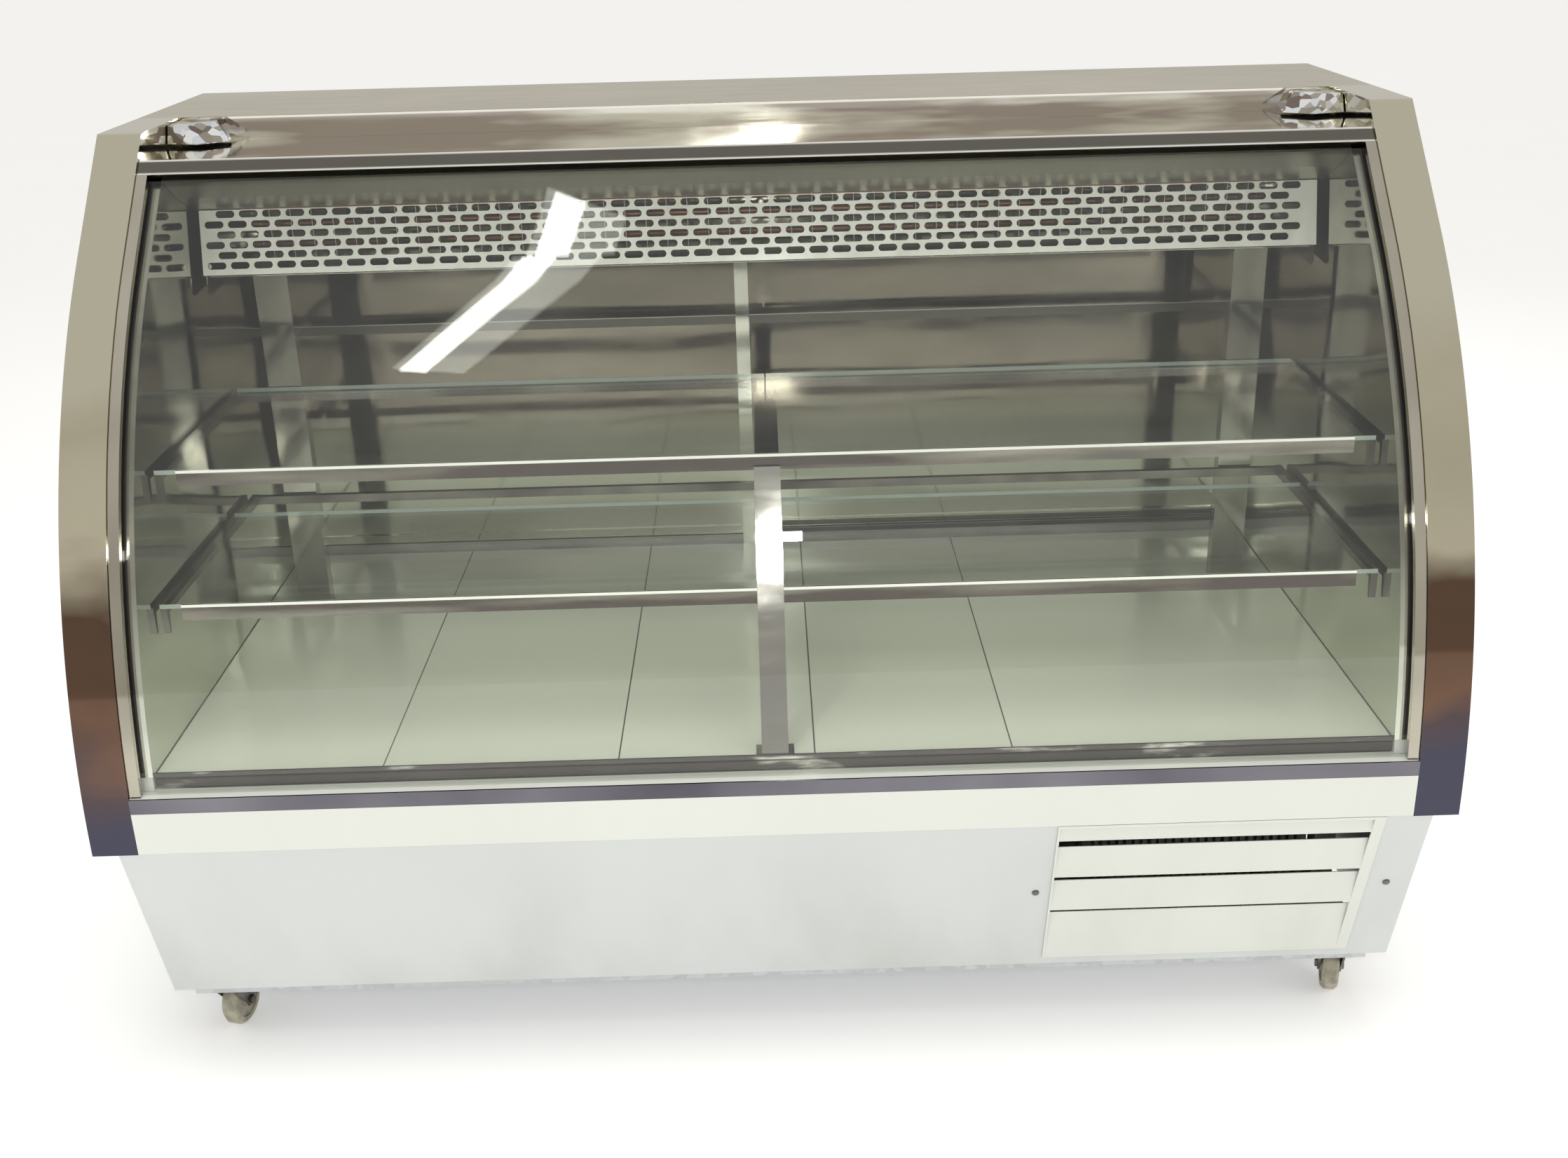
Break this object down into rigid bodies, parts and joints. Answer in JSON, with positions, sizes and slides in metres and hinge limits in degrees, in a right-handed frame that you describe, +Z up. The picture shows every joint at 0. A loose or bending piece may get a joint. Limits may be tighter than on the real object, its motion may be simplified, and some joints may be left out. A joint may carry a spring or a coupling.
{
  "type": "refrigerated deli case",
  "caption": "Refrigerated deli case: fixed curved front glass, glass shelf tiers, white display floor, sliding rear doors and a base with condensing unit on casters.",
  "frame": {"origin": "on the floor, below the middle of the case", "axes": "+X along the counter to the customer's right, -Y towards the customer, +Y towards the seller, +Z up"},
  "size_m": [1.8, 0.926, 1.255],
  "materials": {
    "mirror_steel": "mirror-polished stainless steel",
    "brushed_steel": "brushed stainless steel",
    "white_paint": "glossy white powder coat",
    "deck_white": "glossy cream-white enamel",
    "clear_glass": "clear float glass",
    "foam_core": "rigid foam under white coated skins",
    "lined_foam": "rigid foam under polished steel skins",
    "aluminium": "satin anodised",
    "copper": "copper tube with aluminium fins",
    "galvanised": "zinc coated steel",
    "black_enamel": "black enamel",
    "black_plastic": "fine grain",
    "zinc_plate": "zinc-plated steel",
    "wheel_cream": "moulded nylon"
  },
  "bodies": {
    "cabinet": {"end_panel_left": "foam_core", "end_panel_right": "foam_core", "end_liner_left": "mirror_steel", "end_liner_right": "mirror_steel", "end_cap_left": "mirror_steel", "end_cap_right": "mirror_steel", "glass_beads": "mirror_steel", "front_glass": "clear_glass", "top_panel": "mirror_steel", "top_fascia": "mirror_steel", "canopy_liner": "mirror_steel", "evaporator_grille": "white_paint", "evaporator_coil": "copper", "evaporator_tray": "mirror_steel", "deck_panels": "deck_white", "insulated_floor": "foam_core", "kerb_angle": "mirror_steel", "glass_ledge": "white_paint", "bumper_trim": "mirror_steel", "front_bumper": "white_paint", "centre_post": "mirror_steel", "shelf_uprights": "mirror_steel", "upper_shelf_frame": "brushed_steel", "lower_shelf_frame": "brushed_steel", "upper_shelf_rail": "mirror_steel", "lower_shelf_rail": "mirror_steel", "upper_shelf_glass_left": "clear_glass", "upper_shelf_glass_right": "clear_glass", "lower_shelf_glass_left": "clear_glass", "lower_shelf_glass_right": "clear_glass", "rear_header": "lined_foam", "door_tracks": "aluminium", "rear_lower_panel": "white_paint", "control_panel": "black_plastic", "base_side_left": "white_paint", "base_side_right": "white_paint", "base_front_panel": "white_paint", "louvre_panel": "white_paint", "base_frame": "galvanised", "panel_screws": "zinc_plate", "compressor": "black_enamel", "condenser": "copper", "fan_shroud": "black_enamel", "refrigerant_pipes": "copper", "caster_plates": "zinc_plate"},
    "door_left": {"rear_door_left": "mirror_steel"},
    "door_right": {"rear_door_right": "mirror_steel"},
    "thermostat": {"thermostat_knob": "black_plastic"},
    "main_switch": {"power_switch": "black_plastic"},
    "fan": {"condenser_fan": "aluminium"},
    "caster_front_left": {"caster_fork_front_left": "zinc_plate"},
    "wheel_front_left": {"caster_wheel_front_left": "wheel_cream"},
    "brake_front_left": {"caster_brake_front_left": "zinc_plate"},
    "caster_front_right": {"caster_fork_front_right": "zinc_plate"},
    "wheel_front_right": {"caster_wheel_front_right": "wheel_cream"},
    "brake_front_right": {"caster_brake_front_right": "zinc_plate"},
    "caster_rear_left": {"caster_fork_rear_left": "zinc_plate"},
    "wheel_rear_left": {"caster_wheel_rear_left": "wheel_cream"},
    "caster_rear_right": {"caster_fork_rear_right": "zinc_plate"},
    "wheel_rear_right": {"caster_wheel_rear_right": "wheel_cream"}
  },
  "joints": [
    {"name": "left_door_slide", "type": "slide", "parent": "cabinet", "child": "door_left", "axis": [1, 0, 0], "range_m": [0, 0.76]},
    {"name": "right_door_slide", "type": "slide", "parent": "cabinet", "child": "door_right", "axis": [-1, 0, 0], "range_m": [0, 0.76]},
    {"name": "thermostat_turn", "type": "hinge", "parent": "cabinet", "child": "thermostat", "pos_m": [0.63, 0.436, 0.296], "axis": [0, -1, 0], "range_deg": [0, 270]},
    {"name": "main_switch_rock", "type": "hinge", "parent": "cabinet", "child": "main_switch", "pos_m": [0.715, 0.431, 0.296], "axis": [-1, 0, 0], "range_deg": [0, 18]},
    {"name": "condenser_fan_spin", "type": "hinge", "parent": "cabinet", "child": "fan", "pos_m": [0.592, -0.262, 0.232], "axis": [0, 1, 0], "continuous": true},
    {"name": "front_left_caster_swivel", "type": "hinge", "parent": "cabinet", "child": "caster_front_left", "pos_m": [-0.81, -0.316, 0.09], "axis": [0, 0, 1], "continuous": true},
    {"name": "front_left_wheel_spin", "type": "hinge", "parent": "caster_front_left", "child": "wheel_front_left", "pos_m": [-0.8046, -0.29262, 0.0375], "axis": [-0.9744, 0.225, 0], "continuous": true},
    {"name": "front_left_brake_pedal", "type": "hinge", "parent": "caster_front_left", "child": "brake_front_left", "pos_m": [-0.79898, -0.26826, 0.077], "axis": [0.9744, -0.225, 0], "range_deg": [0, 20]},
    {"name": "front_right_caster_swivel", "type": "hinge", "parent": "cabinet", "child": "caster_front_right", "pos_m": [0.81, -0.316, 0.09], "axis": [0, 0, 1], "continuous": true},
    {"name": "front_right_wheel_spin", "type": "hinge", "parent": "caster_front_right", "child": "wheel_front_right", "pos_m": [0.81581, -0.29271, 0.0375], "axis": [-0.9703, 0.2419, 0], "continuous": true},
    {"name": "front_right_brake_pedal", "type": "hinge", "parent": "caster_front_right", "child": "brake_front_right", "pos_m": [0.82185, -0.26846, 0.077], "axis": [0.9703, -0.2419, 0], "range_deg": [0, 20]},
    {"name": "rear_left_caster_swivel", "type": "hinge", "parent": "cabinet", "child": "caster_rear_left", "pos_m": [-0.81, 0.372, 0.09], "axis": [0, 0, 1], "continuous": true},
    {"name": "rear_left_wheel_spin", "type": "hinge", "parent": "caster_rear_left", "child": "wheel_rear_left", "pos_m": [-0.82478, 0.39091, 0.0375], "axis": [-0.788, -0.6157, 0], "continuous": true},
    {"name": "rear_right_caster_swivel", "type": "hinge", "parent": "cabinet", "child": "caster_rear_right", "pos_m": [0.81, 0.372, 0.09], "axis": [0, 0, 1], "continuous": true},
    {"name": "rear_right_wheel_spin", "type": "hinge", "parent": "caster_rear_right", "child": "wheel_rear_right", "pos_m": [0.78825, 0.36186, 0.0375], "axis": [0.4226, -0.9063, 0], "continuous": true}
  ]
}
